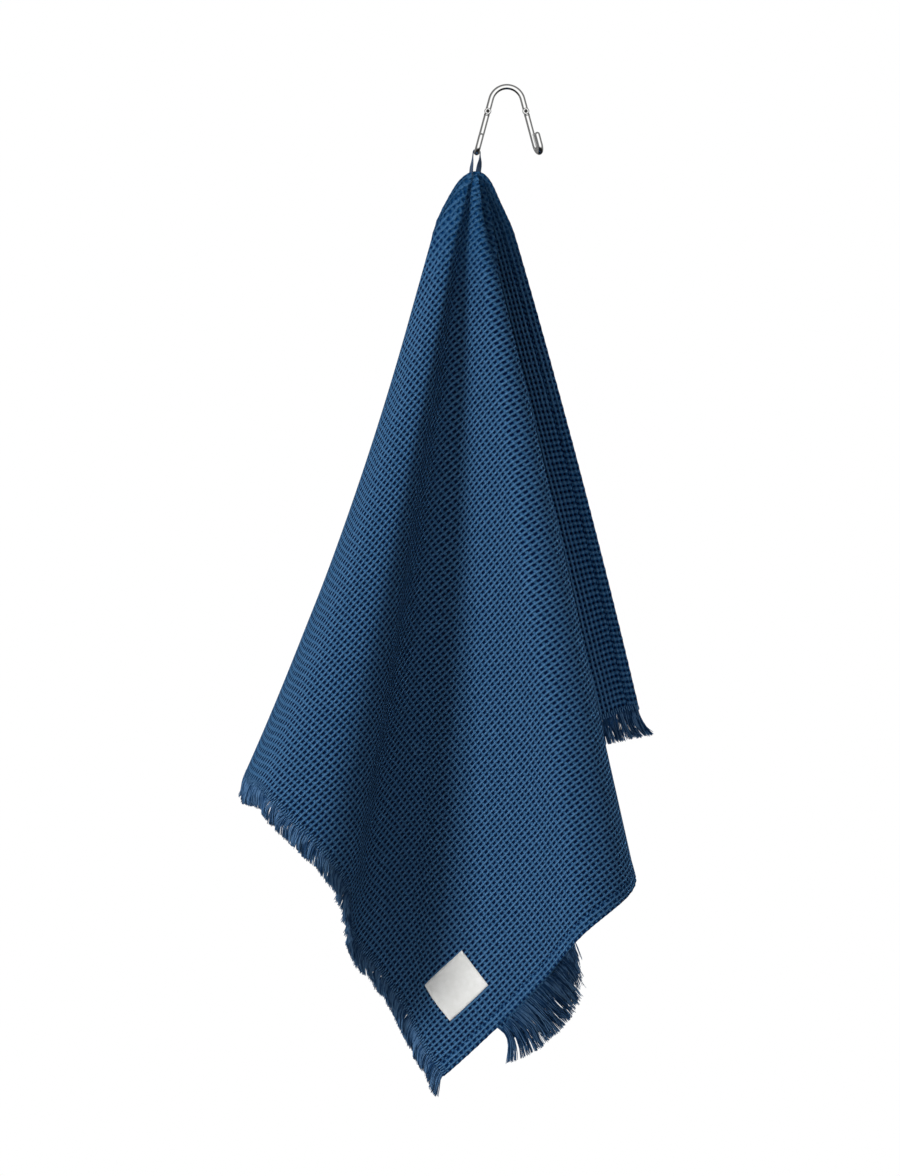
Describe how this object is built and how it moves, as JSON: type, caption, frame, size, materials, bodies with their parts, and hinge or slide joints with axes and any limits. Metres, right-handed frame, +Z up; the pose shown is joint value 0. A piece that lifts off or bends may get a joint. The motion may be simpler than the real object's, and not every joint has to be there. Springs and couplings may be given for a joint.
{
  "type": "hand towel on a hook",
  "caption": "Waffle-weave cotton hand towel with fringed ends and a tape loop, hanging in folds from a chrome double hook.",
  "frame": {"origin": "inside of the hook's arch, at its crown, where the hook rests on a rail", "axes": "+Z up, +X to the viewer's right, +Y away from the viewer"},
  "size_m": [0.3012, 0.3123, 0.7475],
  "materials": {
    "cotton_waffle": "matt navy waffle weave",
    "cotton_fringe": "loose twisted threads",
    "cotton_tape": "narrow woven tape",
    "label_ribbon": "off-white woven ribbon",
    "chromed_wire": "polished"
  },
  "bodies": {
    "root": {"towel_cloth": "cotton_waffle", "fringe_left": "cotton_fringe", "fringe_right": "cotton_fringe", "woven_label": "label_ribbon", "hanging_loop": "cotton_tape", "double_hook": "chromed_wire"}
  },
  "joints": []
}
